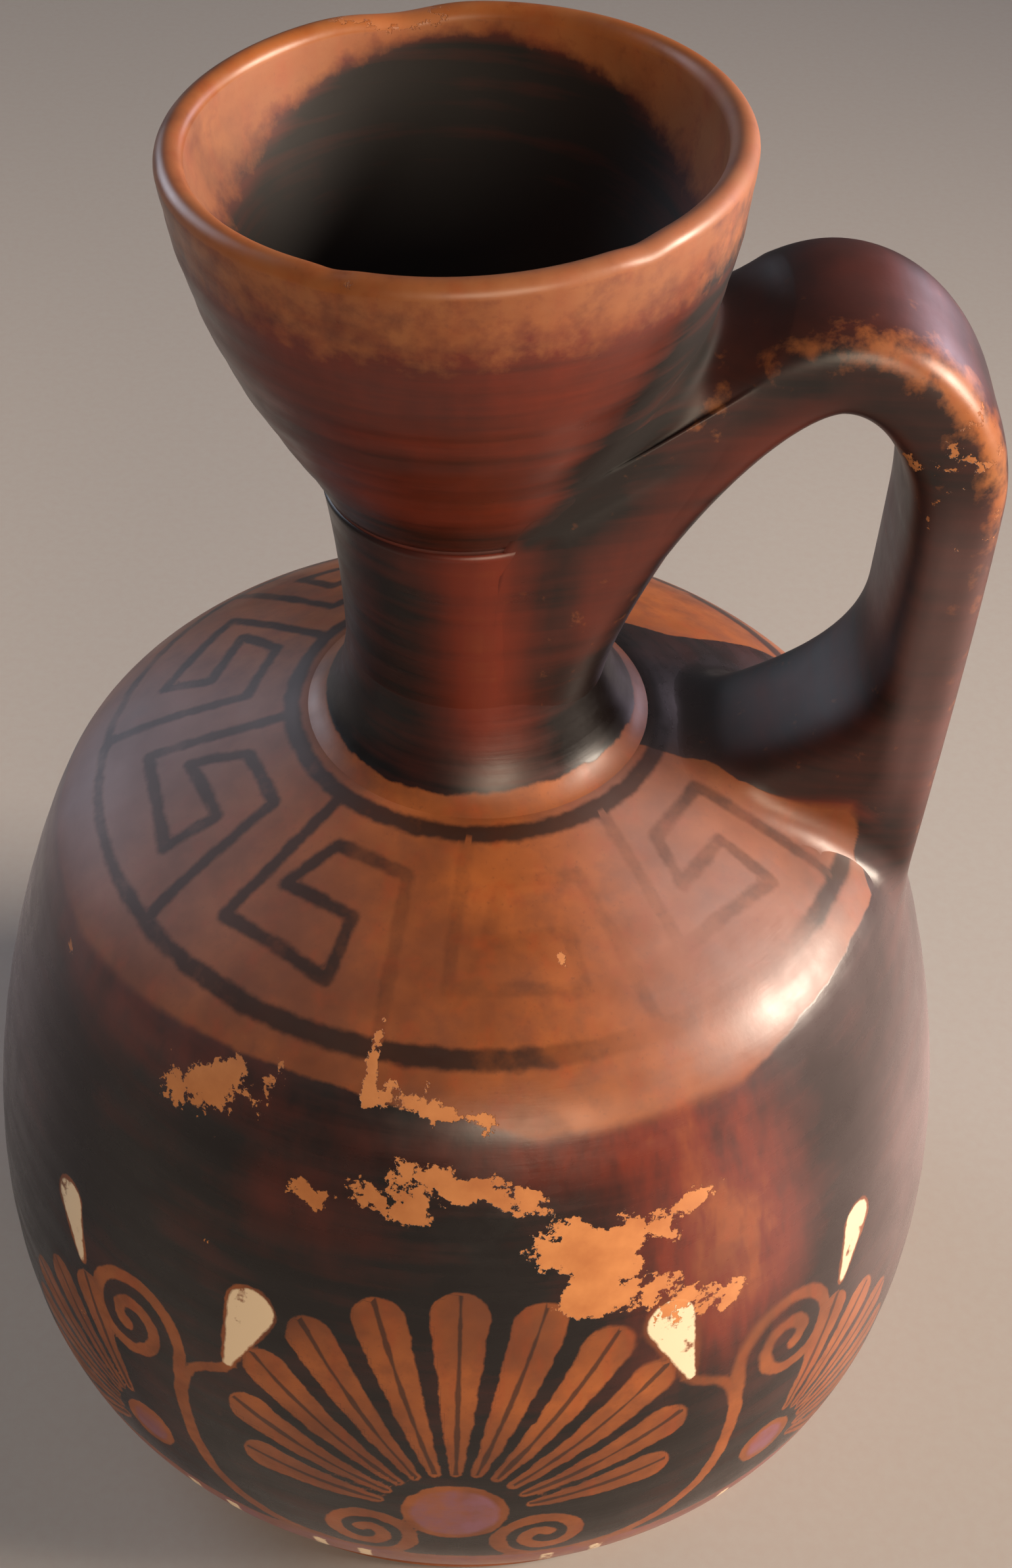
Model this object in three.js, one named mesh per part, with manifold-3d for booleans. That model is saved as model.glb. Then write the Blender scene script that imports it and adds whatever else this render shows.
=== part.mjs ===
// Squat lekythos: a small one-handled oil jar of fired clay.
// Millimetres, +Z up. The origin is the centre of the underside, on the plane it stands on.
// The handle stands on the +X side, in the plane of the jar's axis.

import * as THREE from 'three';
import { mergeVertices } from 'three/addons/utils/BufferGeometryUtils.js';
import Module from 'manifold-3d';

// Fit of the pieces
const luting = 0.6;            // thickness of a ring of slip between two flat faces
const slipRecess = 0.45;       // how far a ring of slip sits back from the wall beside it
const clearance = 0.3;         // gap between two pieces that meet along a curved face

// Foot
const footRadius = 48.2;       // widest point of the rounded edge
const footHeight = 5;
const footEdge = 2.4;          // how far the edge bulges past the flat it stands on
const standingWidth = 8;       // width of the flat ring that it stands on
const recessDepth = 2;         // hollow turned into the underside

// Body
const wall = 4.2;
const floorThickness = 5;
const heelRadius = 45.6;       // where the body meets the foot
const heelReach = 8.4;         // how far the heel runs outwards before it turns up
const bellyRadius = 56.2;      // widest point of the jar
const bellyHeight = 29.5;      // height of the widest point
const bellyBelow = 12.5;       // upright stretch below the widest point
const bellyAbove = 16.5;       // upright stretch above it
const edgeRadius = 46.1;       // turn from belly to shoulder
const edgeHeight = 77.8;
const edgeLean = 22.5;         // degrees that the wall leans in at this turn
const edgeBelow = 12.8;
const edgeAbove = 8;
const seatRadius = 19.1;       // flat that the neck and its coil stand on
const seatHeight = 94.2;
const shoulderSlope = 22;      // degrees from level where the shoulder reaches the seat
const shoulderRun = 14.5;

// Neck, in its own leaning frame with the seat at height 0
const neckLean = 2.9;          // degrees, away from the handle
const neckRadius = 13.1;
const neckStraight = 13;       // height of the straight stretch
const neckTopRadius = 14.2;
const neckTop = 30.1;
const boreRadius = 9.2;
const coilRadius = 17.2;       // outer edge of the coil on the seat
const coilHeight = 8.5;
const coilEdge = 0.6;          // thickness left at the two thin edges of the coil

// Mouth
const mouthRadius = 26;
const mouthHeight = 34.6;      // from its lower face to the top of the lip
const lipThickness = 2.6;
const throatHeight = 6;        // straight bore at the bottom of the cup

// Handle
const strapWidth = 20;
const strapThickness = 10.4;
const strapTaper = 1.2;        // how much thinner its inner side is on the way down
const rootWidth = 22;          // at the neck
const rootWeb = 10.5;          // clay worked under the strap at the neck
const endWidth = 20;           // at the shoulder
const endWeb = 78;             // swell of the clay worked under the strap at the shoulder
const endReach = 34;           // how far in that clay reaches
const rootHeight = 20;         // start of the middle line, on the axis, above the seat
const crownReach = 32;         // top of the middle line, from the axis
const crownHeight = 141.4;
const sideReach = 44.2;        // farthest point of the middle line from the axis
const sideHeight = 126.8;
const endDepth = 3.8;          // middle line at the shoulder, inside the turn of the wall
const strapRoundness = 3.4;    // 2 is an ellipse, higher is squarer

// Facets
const roundFacets = 60;
const outlineFacets = 7;
const strapSteps = 36;
const strapFacets = 24;
const strapCrowding = 0.35;

const wasm = await Module();
wasm.setup();

const point = (radius, height) => new THREE.Vector2(radius, height);

const sine = (degrees) => Math.sin(THREE.MathUtils.degToRad(degrees));
const cosine = (degrees) => Math.cos(THREE.MathUtils.degToRad(degrees));

function bow(start, first, second, end) {
  return new THREE.CubicBezierCurve(start, first, second, end).getPoints(outlineFacets);
}

// Outline moved sideways along its own normals; positive distances go to the left of its run.
function beside(outline, distance) {
  return outline.map((here, i) => {
    const before = outline[Math.max(i - 1, 0)];
    const after = outline[Math.min(i + 1, outline.length - 1)];
    const along = after.clone().sub(before).normalize();
    return point(here.x - along.y * distance, here.y + along.x * distance);
  });
}

function joined(...outlines) {
  const all = outlines.flat();
  return all.filter((here, i) => i === 0 || here.distanceTo(all[i - 1]) > 1e-6);
}

// A turned piece stands upright along Z; its outline runs anticlockwise, seen with the axis at the left.
function turned(outline) {
  const geometry = new THREE.LatheGeometry(outline, roundFacets);
  geometry.rotateX(Math.PI / 2);
  return geometry;
}

function ring(innerRadius, outerRadius, low, high) {
  const outline = [
    point(innerRadius, low),
    point(outerRadius, low),
    point(outerRadius, high),
    point(innerRadius, high),
    point(innerRadius, low),
  ];
  return turned(outline);
}

function toManifold(geometry) {
  const bare = geometry.clone();
  bare.deleteAttribute('normal');
  bare.deleteAttribute('uv');
  const welded = mergeVertices(bare, 1e-5);
  const corners = welded.index.array;
  const kept = [];
  for (let i = 0; i < corners.length; i += 3) {
    const [a, b, c] = [corners[i], corners[i + 1], corners[i + 2]];
    if (a !== b && b !== c && c !== a) kept.push(a, b, c);
  }
  const vertProperties = Float32Array.from(welded.attributes.position.array);
  const triVerts = Uint32Array.from(kept);
  return new wasm.Manifold(new wasm.Mesh({ numProp: 3, vertProperties, triVerts }));
}

function toGeometry(solid) {
  const mesh = solid.getMesh();
  const geometry = new THREE.BufferGeometry();
  geometry.setAttribute('position', new THREE.BufferAttribute(Float32Array.from(mesh.vertProperties), 3));
  geometry.setIndex(new THREE.BufferAttribute(Uint32Array.from(mesh.triVerts), 1));
  geometry.computeVertexNormals();
  return geometry;
}

function without(geometry, ...cutters) {
  let solid = toManifold(geometry);
  for (const cutter of cutters) solid = solid.subtract(toManifold(cutter));
  return toGeometry(solid);
}

// Foot: standing ring, bulging edge and a level top for the body
const standingRadius = footRadius - footEdge;
const recessRadius = standingRadius - standingWidth;
const footTopRadius = heelRadius + luting;
const footBulge = footRadius + footEdge / 3;
const footOutline = joined(
  [point(0, recessDepth), point(recessRadius - recessDepth, recessDepth), point(recessRadius, 0)],
  bow(
    point(standingRadius, 0),
    point(footBulge, 0),
    point(footBulge, footHeight),
    point(footTopRadius, footHeight),
  ),
  [point(0, footHeight)],
);
const foot = turned(footOutline);

// Body: heel, belly and shoulder as one wall of even thickness, with a level seat for the neck
const heelHeight = footHeight + luting;
const heelToBelly = bow(
  point(heelRadius, heelHeight),
  point(heelRadius + heelReach, heelHeight + luting * 2),
  point(bellyRadius, bellyHeight - bellyBelow),
  point(bellyRadius, bellyHeight),
);
const bellyToEdge = bow(
  point(bellyRadius, bellyHeight),
  point(bellyRadius, bellyHeight + bellyAbove),
  point(edgeRadius + edgeBelow * sine(edgeLean), edgeHeight - edgeBelow * cosine(edgeLean)),
  point(edgeRadius, edgeHeight),
);
const edgeToSeat = bow(
  point(edgeRadius, edgeHeight),
  point(edgeRadius - edgeAbove * sine(edgeLean), edgeHeight + edgeAbove * cosine(edgeLean)),
  point(seatRadius + shoulderRun * cosine(shoulderSlope), seatHeight - shoulderRun * sine(shoulderSlope)),
  point(seatRadius, seatHeight),
);
const bodyOutside = joined(heelToBelly, bellyToEdge, edgeToSeat);
const floorHeight = heelHeight + floorThickness;
const ceilingHeight = seatHeight - wall;
const bodyInside = beside(bodyOutside, wall).filter(
  (here) => here.y > floorHeight && here.y < ceilingHeight && here.x > boreRadius,
);
const floorRadius = bodyInside[0].x - wall / 2;
const body = turned(joined(
  [point(0, heelHeight)],
  bodyOutside,
  [point(boreRadius, seatHeight), point(boreRadius, ceilingHeight)],
  bodyInside.reverse(),
  [point(floorRadius, floorHeight), point(0, floorHeight)],
));

const footSlip = turned([
  point(0, footHeight),
  point(heelRadius - slipRecess, footHeight),
  point(heelRadius - slipRecess, heelHeight),
  point(0, heelHeight),
]);

// Neck and coil: turned in the leaning frame, then cut level where they stand on the seat
const overrun = seatRadius * sine(neckLean) + clearance;
const belowSeat = new THREE.BoxGeometry(bellyRadius, bellyRadius, bellyRadius);
belowSeat.translate(0, 0, -bellyRadius / 2);
belowSeat.rotateY(THREE.MathUtils.degToRad(neckLean));

const neckOutside = joined(
  [point(neckRadius, -overrun)],
  bow(
    point(neckRadius, neckStraight),
    point(neckRadius, (neckStraight + neckTop) / 2),
    point(neckTopRadius, neckTop - neckStraight / 2),
    point(neckTopRadius, neckTop),
  ),
);
const neck = without(
  turned(joined(
    [point(boreRadius, -overrun)],
    neckOutside,
    [point(boreRadius, neckTop), point(boreRadius, -overrun)],
  )),
  belowSeat,
);

const coilBore = neckRadius + clearance;
const coilOutside = joined(
  [point(coilRadius, -overrun)],
  bow(
    point(coilRadius, coilEdge),
    point(coilBore + coilEdge * 3, coilEdge * 2),
    point(coilBore + coilEdge, coilHeight / 2),
    point(coilBore + coilEdge, coilHeight),
  ),
);
const coilOutline = joined(
  [point(coilBore, -overrun)],
  coilOutside,
  [point(coilBore, coilHeight), point(coilBore, -overrun)],
);
const neckCoil = without(turned(coilOutline), belowSeat);

// Mouth: bell-shaped cup with a round lip, open to the bore of the neck
const mouthLow = neckTop + luting;
const lipRound = lipThickness / 2;
const lipHeight = mouthLow + mouthHeight - lipRound;
const throatTop = mouthLow + throatHeight;
const mouthOutside = bow(
  point(neckTopRadius, mouthLow),
  point(neckTopRadius * 1.2, mouthLow + mouthHeight * 0.2),
  point(mouthRadius - 1.6, mouthLow + mouthHeight * 0.45),
  point(mouthRadius, lipHeight),
);
const lip = new THREE.EllipseCurve(mouthRadius - lipRound, lipHeight, lipRound, lipRound, 0, Math.PI)
  .getPoints(outlineFacets);
const cupInside = bow(
  point(mouthRadius - lipThickness, lipHeight),
  point(mouthRadius - lipThickness, lipHeight - mouthHeight / 3),
  point(boreRadius * 1.3, throatTop + throatHeight * 1.7),
  point(boreRadius, throatTop),
);
const mouth = turned(joined(
  [point(boreRadius, mouthLow)],
  mouthOutside,
  lip,
  cupInside,
  [point(boreRadius, mouthLow)],
));

const mouthSlip = ring(boreRadius, neckTopRadius - slipRecess, neckTop, mouthLow);

const upper = new THREE.Group();
upper.name = 'neck_and_mouth';
upper.position.z = seatHeight;
upper.rotation.y = -THREE.MathUtils.degToRad(neckLean);
upper.updateMatrix();

// Handle: a straight strap bent along its middle line, then cut to fit the walls it is pressed on
const middleLine = new THREE.CurvePath();
const rootStart = point(0, seatHeight + rootHeight);
const crown = point(crownReach, crownHeight);
const side = point(sideReach, sideHeight);
const endPoint = point(edgeRadius - endDepth, edgeHeight - endDepth / 2);
const turnOver = (sideReach - crownReach) * 0.55;
middleLine.add(new THREE.CubicBezierCurve(
  rootStart,
  rootStart.clone().lerp(crown, 0.5).add(point(0, strapThickness / 4)),
  point(crownReach - turnOver, crownHeight),
  crown,
));
middleLine.add(new THREE.CubicBezierCurve(
  crown,
  point(crownReach + turnOver, crownHeight),
  point(sideReach, sideHeight + turnOver),
  side,
));
middleLine.add(new THREE.CubicBezierCurve(
  side,
  point(sideReach, sideHeight - turnOver * 1.4),
  endPoint.clone().add(point(endDepth / 3, (sideHeight - edgeHeight) * 0.5)),
  endPoint,
));
const rootRun = 0.4;
const endRun = 0.72;
const taperStart = 0.48;
const taperEnd = 0.62;

// Grows from 0 to 1 towards the ends of the strap
const nearRoot = (share) => Math.max(0, 1 - share / rootRun) ** 2;
const nearEnd = (share) => Math.max(0, (share - endRun) / (1 - endRun)) ** 2.4;

function strapAcross(share) {
  return strapWidth + (rootWidth - strapWidth) * nearRoot(share) + (endWidth - strapWidth) * nearEnd(share);
}

function strapUnder(share) {
  const taper = strapTaper * THREE.MathUtils.smoothstep(share, taperStart, taperEnd);
  const web = rootWeb * nearRoot(share) + Math.min(endWeb * nearEnd(share), endReach);
  return strapThickness + 2 * (web - taper);
}

// Sections stand closer together towards the shoulder, where the strap changes most.
const sectionShare = (step) => step * (1 + strapCrowding * (1 - step));

const strapSection = new THREE.Shape();
for (let i = 0; i < strapFacets; i += 1) {
  const angle = (2 * Math.PI * i) / strapFacets;
  const across = Math.sign(Math.cos(angle)) * Math.abs(Math.cos(angle)) ** (2 / strapRoundness) / 2;
  const through = Math.sign(Math.sin(angle)) * Math.abs(Math.sin(angle)) ** (2 / strapRoundness) / 2;
  if (i === 0) strapSection.moveTo(across, through);
  else strapSection.lineTo(across, through);
}
strapSection.closePath();

const strap = new THREE.ExtrudeGeometry(strapSection, { depth: 1, steps: strapSteps, bevelEnabled: false });
const places = strap.attributes.position;
for (let i = 0; i < places.count; i += 1) {
  const share = sectionShare(THREE.MathUtils.clamp(places.getZ(i), 0, 1));
  const middle = middleLine.getPointAt(share);
  const along = middleLine.getTangentAt(share);
  const out = places.getY(i) * (places.getY(i) > 0 ? strapThickness : strapUnder(share));
  const across = places.getX(i) * strapAcross(share);
  places.setXYZ(i, middle.x - along.y * out, across, middle.y + along.x * out);
}

const upperEnvelope = turned(joined(
  [point(0, -overrun)],
  beside(joined(neckOutside, mouthOutside), -clearance),
  [point(0, lipHeight)],
)).applyMatrix4(upper.matrix);
const coilEnvelope = turned(joined(
  [point(0, -overrun)],
  beside(coilOutside, -clearance),
  [point(coilBore, coilHeight + clearance), point(0, coilHeight + clearance)],
)).applyMatrix4(upper.matrix);
const bodyEnvelope = turned(joined(
  [point(0, heelHeight)],
  beside(bodyOutside, -clearance),
  [point(0, seatHeight)],
));
const handle = without(strap, upperEnvelope, coilEnvelope, bodyEnvelope);

// Colours and finishes of the fired clay and of its slips
const blackGloss = { color: 0x1d1716, roughness: 0.32, metalness: 0 };
const redClay = { color: 0x9a5a35, roughness: 0.62, metalness: 0 };
const thinSlip = { color: 0x4a2418, roughness: 0.38, metalness: 0 };
const lutingClay = { color: 0x5b3524, roughness: 0.7, metalness: 0 };

function piece(name, geometry, finish) {
  const mesh = new THREE.Mesh(geometry, new THREE.MeshStandardMaterial(finish));
  mesh.name = name;
  return mesh;
}

upper.add(
  piece('neck_coil', neckCoil, blackGloss),
  piece('neck', neck, thinSlip),
  piece('mouth_slip', mouthSlip, lutingClay),
  piece('mouth', mouth, thinSlip),
);

const lekythos = new THREE.Group();
lekythos.name = 'lekythos';
lekythos.add(
  piece('foot', foot, redClay),
  piece('foot_slip', footSlip, lutingClay),
  piece('body', body, blackGloss),
  upper,
  piece('handle', handle, blackGloss),
);

export default lekythos;
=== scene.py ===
import math
from functools import partial

import bpy
import numpy as np
from bpy.props import FloatProperty, FloatVectorProperty, PointerProperty
from mathutils import Matrix, Vector
from numpy import cos, radians, sin
from numpy.linalg import norm


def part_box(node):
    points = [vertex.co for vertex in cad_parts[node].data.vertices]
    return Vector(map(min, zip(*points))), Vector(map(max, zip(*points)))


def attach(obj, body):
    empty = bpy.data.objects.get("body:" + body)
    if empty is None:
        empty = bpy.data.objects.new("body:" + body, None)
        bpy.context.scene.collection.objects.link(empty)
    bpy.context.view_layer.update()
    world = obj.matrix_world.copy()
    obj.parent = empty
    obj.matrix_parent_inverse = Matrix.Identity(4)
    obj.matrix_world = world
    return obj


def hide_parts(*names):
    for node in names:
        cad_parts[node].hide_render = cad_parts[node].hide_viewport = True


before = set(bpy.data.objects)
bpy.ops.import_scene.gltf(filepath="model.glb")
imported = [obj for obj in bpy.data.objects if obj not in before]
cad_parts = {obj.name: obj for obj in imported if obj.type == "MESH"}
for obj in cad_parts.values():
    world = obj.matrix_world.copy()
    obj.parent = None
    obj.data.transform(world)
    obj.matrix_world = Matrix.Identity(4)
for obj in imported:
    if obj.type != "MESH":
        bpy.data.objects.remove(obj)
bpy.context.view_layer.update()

bl_info = {
    "name": "Squat lekythos",
    "version": (1, 0, 0),
    "blender": (4, 5, 0),
    "location": "3D View > Sidebar > Lekythos",
    "description": "Dresses the packed solids of a small oil jar in clay, gloss slip and wear",
    "category": "Add Mesh",
}

# Lengths are millimetres, turns are degrees round the jar from its front, and heights of the upper pieces
# run along the leaning neck from the seat on the shoulder.
MM = 0.001
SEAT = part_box("body")[1].z / MM
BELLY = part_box("body")[1].x / MM
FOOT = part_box("foot")[1].x / MM
FOOT_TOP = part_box("foot")[1].z / MM
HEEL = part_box("body")[0].z / MM
LEAN = radians(-2.9)
BELLY_HEIGHT = 29.5
EDGE = (46.1, 77.8)
EDGE_LEAN = radians(22.5)
COLLAR = 19.1
SHOULDER_SLOPE = radians(22)
BORE = 9.2
NECK = 13.1
NECK_START = 7.5
NECK_TOP = (14.2, 30.1)
MOUTH_START = 30.7
LIP = (26, 64)
LIP_ROLL = 1.3

# Points round a piece
RING_COLUMNS = 240
MOUTH_COLUMNS = 320
BODY_COLUMNS = 504
STRAP_COLUMNS = 112


def linear(hexcode):
    """sRGB hex to the linear values that shaders use."""
    parts = [int(hexcode[i:i + 2], 16) / 255 for i in (1, 3, 5)]
    return [c / 12.92 if c <= 0.04045 else ((c + 0.055) / 1.055) ** 2.4 for c in parts]


def colour(name, description, hexcode):
    return FloatVectorProperty(
        name=name, description=description, default=linear(hexcode),
        subtype="COLOR", size=3, min=0, max=1)


def length(name, description, millimetres):
    return FloatProperty(
        name=name, description=description, default=millimetres * MM,
        unit="LENGTH", min=0, precision=5)


class LekythosSizes(bpy.types.PropertyGroup):
    """Sizes of the painting and of the traces of making"""
    key_stroke: length("Key stroke", "Width of a brush stroke in the key pattern", 1.45)
    ring_line: length("Ring line", "Width of the two painted rings on the shoulder", 1.8)
    throwing_ring: length("Throwing ring", "Spacing of the faint ridges left by throwing", 5.2)
    throwing_depth: length("Throwing depth", "Depth of those ridges", 0.018)
    root_fillet: length("Root fillet", "Clay smoothed in between handle and neck", 6.5)
    end_fillet: length("End fillet", "Clay smoothed in between handle and shoulder", 2.8)


class LekythosColours(bpy.types.PropertyGroup):
    """Colours of clay, slips and floor"""
    clay: colour("Clay", "Reserved clay in the light parts", "#925023")
    clay_deep: colour("Deep clay", "Reserved clay in the dull parts", "#643419")
    ochre: colour("Ochre wash", "Thin red wash rubbed into the clay", "#8a3812")
    bare: colour("Fresh clay", "Clay where the slip has flaked off", "#b87742")
    gloss: colour("Black gloss", "Slip fired black", "#120d0c")
    gloss_thin: colour("Thin gloss", "Slip fired red-brown where it is thin", "#60200e")
    cream: colour("Cream", "Added cream colour", "#d9c3a4")
    mauve: colour("Mauve", "Added purple-red colour, faded", "#7a5060")
    # The film colour is both the grey of weathering and painted sheen on the gloss.
    film_and_sheen: colour("Film", "Grey film of weathering on the gloss", "#8e7c7f")
    floor: colour("Floor", "Studio paper", "#aaa6a2")


# Outlines are rows of (radius, height).

def bow(start, first, second, end, count=60):
    """Points of a cubic curve with two guide points."""
    t = np.linspace(0, 1, count)[:, None]
    u = 1 - t
    start, first, second, end = (np.array(p, float) for p in (start, first, second, end))
    return u ** 3 * start + 3 * u ** 2 * t * first + 3 * u * t ** 2 * second + t ** 3 * end


def joined(*parts):
    """Outlines end to end, without repeated points."""
    points = np.vstack([np.atleast_2d(np.array(p, float)) for p in parts])
    step = norm(np.diff(points, axis=0), axis=1)
    return points[np.r_[True, step > 1e-6]]


def run_of(points):
    """Length along an outline at each of its points."""
    return np.r_[0, np.cumsum(norm(np.diff(points, axis=0), axis=1))]


def evenly(points, spacing):
    """The same outline with points a set distance apart."""
    run = run_of(points)
    at = np.linspace(0, run[-1], max(2, int(round(run[-1] / spacing)) + 1))
    return np.column_stack([np.interp(at, run, points[:, i]) for i in range(points.shape[1])])


def smooth(low, high, value):
    """0 below low, 1 above high, soft in between; it falls where low is the larger."""
    t = np.clip((value - low) / (high - low), 0, 1)
    return t * t * (3 - 2 * t)


def full_turn(count):
    return np.linspace(-180, 180, count, endpoint=False)


def outward(turns):
    """Level way out from the axis; turn 0 is the front, -Y, and turn 90 the handle's side."""
    angle = radians(turns)
    return np.stack([sin(angle), -cos(angle), 0 * angle], -1)


def grid(outline, turns):
    """Turn, radius and height of the points of a turned outline."""
    shape = len(outline), len(turns)
    return [np.broadcast_to(values, shape) for values in (turns[None], outline[:, :1], outline[:, 1:2])]


def turned(outline, turns):
    """Rows of points of an outline turned round the axis."""
    _, radius, height = grid(outline, turns)
    return radius[..., None] * outward(turns) + height[..., None] * np.array((0, 0, 1))


def tipped(lean, x, z):
    """x and z turned by a lean in the plane of neck and handle."""
    return cos(lean) * x + sin(lean) * z, cos(lean) * z - sin(lean) * x


def leaned(points):
    """Points of the upper pieces, from the neck's own line into the jar's frame."""
    x, y, z = np.moveaxis(points, -1, 0)
    x, z = tipped(LEAN, x, z)
    return np.stack([x, y, SEAT + z], -1)


def placed(name, data):
    """A new object in the scene."""
    thing = bpy.data.objects.new(name, data)
    bpy.context.scene.collection.objects.link(thing)
    return thing


def skin(name, rows, loop=False, shares=None):
    """Mesh object from rows of points that close round the piece. A row of one repeated point is a pole,
    loop joins the last row to the first, and shares are the rows' places in the bake map."""
    columns = rows.shape[1]
    poles = [int(np.ptp(rows[i], axis=0).max() < 1e-6) for i in (0, -1)]
    rings = rows[poles[0]:len(rows) - poles[1]]
    points = list(rings.reshape(-1, 3) * MM)
    index = np.arange(len(rings) * columns).reshape(len(rings), columns)
    lower, upper = (index, np.roll(index, -1, 0)) if loop else (index[:-1], index[1:])
    quads = np.stack([lower, np.roll(lower, -1, 1), np.roll(upper, -1, 1), upper], -1)
    faces = quads.reshape(-1, 4).tolist()
    steps = len(lower)
    if shares is None:
        shares = np.linspace(0, 1, steps + 1)
    across = np.linspace(0, 1, columns + 1)
    u = np.stack([np.repeat(across[None, s:columns + s], steps, 0) for s in (0, 1, 1, 0)], -1)
    v = np.stack([np.repeat(shares[s:steps + s, None], columns, 1) for s in (0, 0, 1, 1)], -1)
    uv = np.stack([u, v], -1).reshape(-1, 2)
    for i in (0, -1):
        if poles[i]:
            points.append(rows[i, 0] * MM)
            tip, ring, following = len(points) - 1, index[i], np.roll(index[i], -1)
            pairs = zip(ring, following) if i else zip(following, ring)
            faces += [[int(a), int(b), tip] for a, b in pairs]
            uv = np.vstack([uv, np.tile([[0.5, abs(i)]], (3 * columns, 1))])
    mesh = bpy.data.meshes.new(name)
    mesh.from_pydata([tuple(p) for p in points], [], faces)
    layer = mesh.uv_layers.new(name="OFBake")
    layer.data.foreach_set("uv", uv.astype(np.float32).ravel())
    mesh.shade_smooth()
    mesh.update()
    return placed(name, mesh)


# What a piece's points hold for its material: signed distances in millimetres, positive inside the
# painted shape (ribs: distance from the line), then shares from 0 to 1
FAR = 9.0
COVERED = 3.0
UNPAINTED = {
    "slip": -COVERED, "stroke": -FAR, "ribs": FAR, "cream": -FAR, "mauve": -FAR, "fade": 1,
    "flake": 0, "thin": 0, "rubbed": 0, "bloom": 0, "dull": 0}


def paint(piece, **layers):
    """Stores numbers on the points of a piece, for its material to read; poles get the mean."""
    total = len(piece.data.vertices)
    for name, plain in UNPAINTED.items():
        values = np.ravel(layers.get(name, plain)).astype(float)
        values = np.r_[values, np.full(total - len(values), values.mean())]
        layer = piece.data.attributes.new(name, "FLOAT", "POINT")
        layer.data.foreach_set("value", values.astype(np.float32))


def seated(piece, finish, slot, *nodes, **layers):
    """Gives a piece its paint and finish and sets it in place of its solids."""
    paint(piece, **layers)
    piece.data.materials.append(bpy.data.materials.get(finish) or slip_on_clay(finish, *FINISHES[finish]))
    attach(piece, "root")
    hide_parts(*nodes)


# Painting: signed distances, from which the material cuts a clean brush edge at any scale

def from_segment(x, y, start, end):
    """Distance of points from a straight stroke."""
    dx, dy = end[0] - start[0], end[1] - start[1]
    t = np.clip(((x - start[0]) * dx + (y - start[1]) * dy) / (dx * dx + dy * dy), 0, 1)
    return np.hypot(x - start[0] - t * dx, y - start[1] - t * dy)


def from_line(x, y, points):
    """Distance of points from a line of strokes."""
    return np.min([from_segment(x, y, a, b) for a, b in zip(points[:-1], points[1:])], axis=0)


def petal(x, y, base, lean, start, tip, narrow, wide):
    """A petal that widens to a round tip: signed distance, and distance from its middle line."""
    along = (x - base[0]) * sin(lean) + (y - base[1]) * cos(lean)
    beside = (x - base[0]) * cos(lean) - (y - base[1]) * sin(lean)
    reach = tip - wide - start - narrow
    slant = (wide - narrow) / reach
    flat = math.sqrt(1 - slant * slant)
    height, side = along - start - narrow, abs(beside)
    level = slant * side + flat * height
    lower = np.hypot(side, height) - narrow
    upper = np.hypot(side, height - reach) - wide
    middle = flat * side - slant * height - narrow
    return -np.where(level < 0, lower, np.where(level > flat * reach, upper, middle)), beside


def spiral(centre, start, turns, inner, outer, count=60):
    """Points of a spiral from its outer end, at angle start, in to its centre."""
    t = np.linspace(0, 1, count)
    angle = start + 2 * math.pi * turns * t
    radius = outer + (inner - outer) * t
    return np.column_stack([centre[0] + radius * cos(angle), centre[1] + radius * sin(angle)])


# The key pattern's corners are (turn, radius), and a unit repeats every KEY_PITCH degrees.
KEY_UNITS = 8
KEY_PITCH = 40.6
KEY_START = -85.2 - 4 * KEY_PITCH
KEY_PATH = (
    (2.4, 19.6), (0, 34.6), (22.3, 35.6), (21.8, 29.7), (6.6, 30), (10.6, 24.3), (29.4, 24.6), (31.4, 40.2))
KEY_WANDER = (0.5, 0.25)
KEY_OUTSIDE = 40.6
RING_OUTER = 40.35
RING_INNER = 19.5


def key_pattern(x, y, stroke):
    """Running key on the shoulder, drawn freehand: eight units, and none under the handle."""
    hand = np.random.default_rng(4)
    near = np.full(x.shape, 99.0)
    for unit in range(KEY_UNITS):
        path = np.array(KEY_PATH) + hand.normal(0, KEY_WANDER, (len(KEY_PATH), 2))
        angle = radians(KEY_START + unit * KEY_PITCH + path[:, 0])
        corners = np.column_stack([path[:, 1] * sin(angle), path[:, 1] * cos(angle)])
        near = np.minimum(near, from_line(x, y, corners))
    return stroke / 2 - near


# Front ornament, on the wall unrolled at radius UNROLLED: x from the middle of the front, y up from the
# widest ring
UNROLLED = 54
FAN = (0, -1.5)
FAN_PETALS = 11
FAN_SPREAD = radians(78)
FAN_HEART = 5.6
SCROLL_LOW = (9.5, -7.5)
SCROLL_HIGH = (37.5, 13)
SIDE_FAN = (35.5, -4.5)
SIDE_PETALS = 6
SIDE_HEART = 3.4
LEAF = (23.5, 21.5)
BUD = (45.5, 15)
STEM_HALF, TWIG_HALF = 0.85, 0.6


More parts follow.
